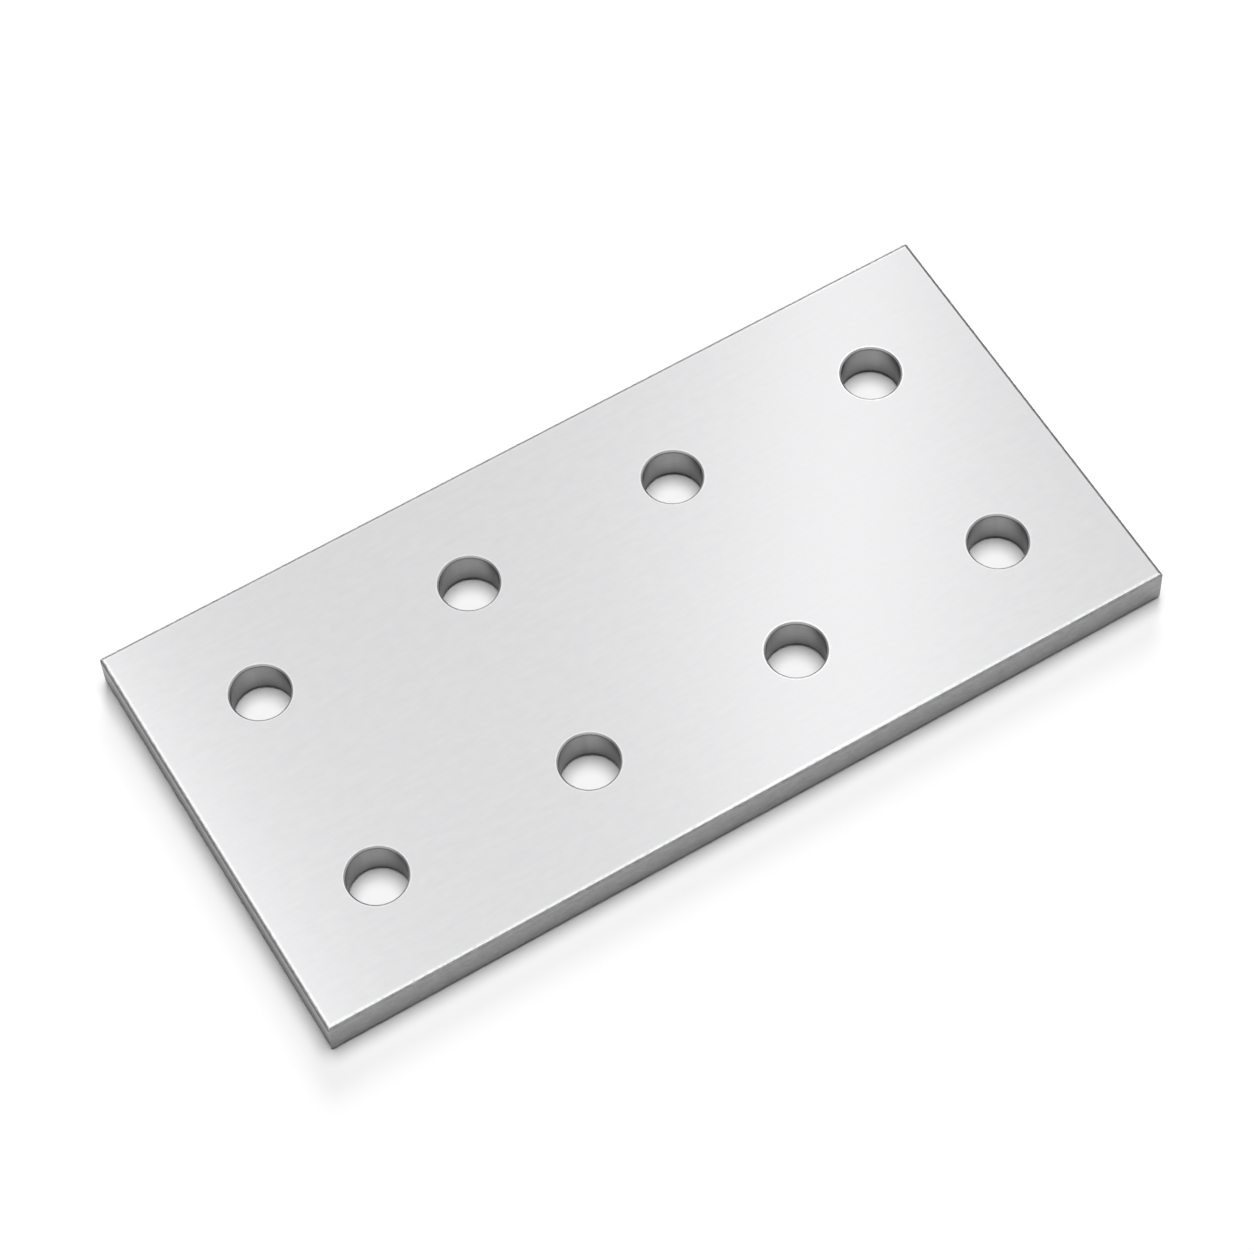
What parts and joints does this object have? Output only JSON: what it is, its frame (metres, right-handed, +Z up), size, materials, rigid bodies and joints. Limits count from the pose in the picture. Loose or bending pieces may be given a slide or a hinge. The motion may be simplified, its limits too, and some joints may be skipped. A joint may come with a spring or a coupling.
{
  "type": "rectangular cover plate",
  "caption": "Flat rectangular metal plate with a regular grid of through bolt holes, for covering and tying slotted framing.",
  "frame": {"origin": "centre of the underside, where the plate seats on the framing", "axes": "+X along the plate's length, +Y across its width, +Z up through its thickness"},
  "size_m": [0.1016, 0.0508, 0.0048],
  "materials": {
    "brushed_plate": "brushed along the length, satin"
  },
  "bodies": {
    "root": {"cover_plate": "brushed_plate"}
  },
  "joints": []
}
